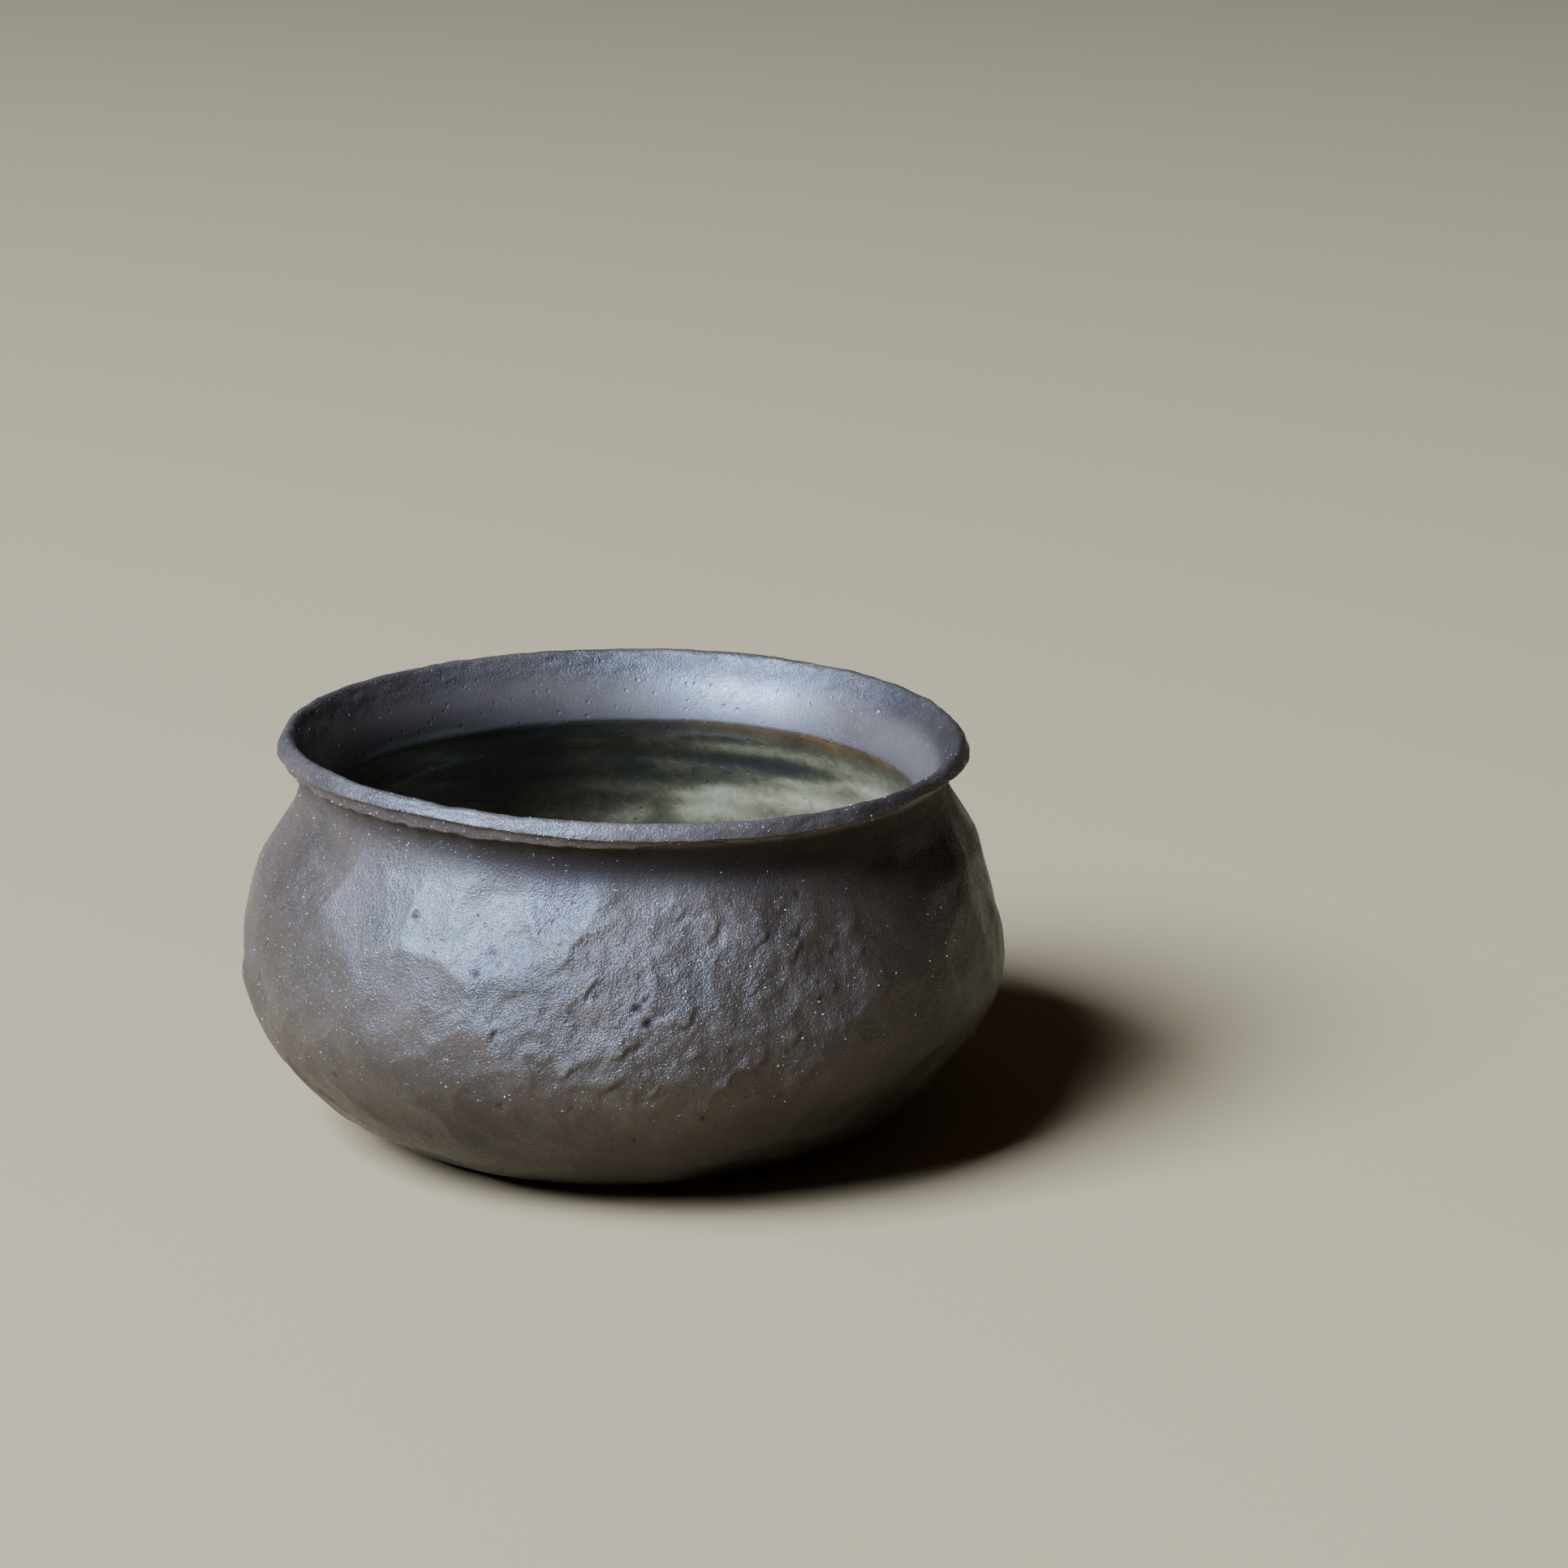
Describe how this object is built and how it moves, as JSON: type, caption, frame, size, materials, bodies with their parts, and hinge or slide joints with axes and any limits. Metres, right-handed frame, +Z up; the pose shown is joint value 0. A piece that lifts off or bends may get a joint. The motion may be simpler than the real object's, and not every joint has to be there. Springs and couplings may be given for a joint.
{
  "type": "matcha bowl",
  "caption": "Squat round hand-built stoneware tea bowl with a drawn-in neck, a short folded lip and a mottled ash glaze inside.",
  "frame": {"origin": "centre of the bowl at the plane it stands on", "axes": "+Z up out of the mouth, -X towards the slightly higher side of the rim, -Y the side with the roughest paddling"},
  "size_m": [0.1198, 0.121, 0.0639],
  "materials": {
    "base_clay": "rough unglazed stoneware",
    "wall_clay": "satin burnished stoneware",
    "lip_clay": "satin burnished stoneware",
    "ash_glaze": "glossy mottled ash glaze"
  },
  "bodies": {
    "root": {"base_slab": "base_clay", "bowl_wall": "wall_clay", "lip_band": "lip_clay", "interior_glaze": "ash_glaze"}
  },
  "joints": []
}
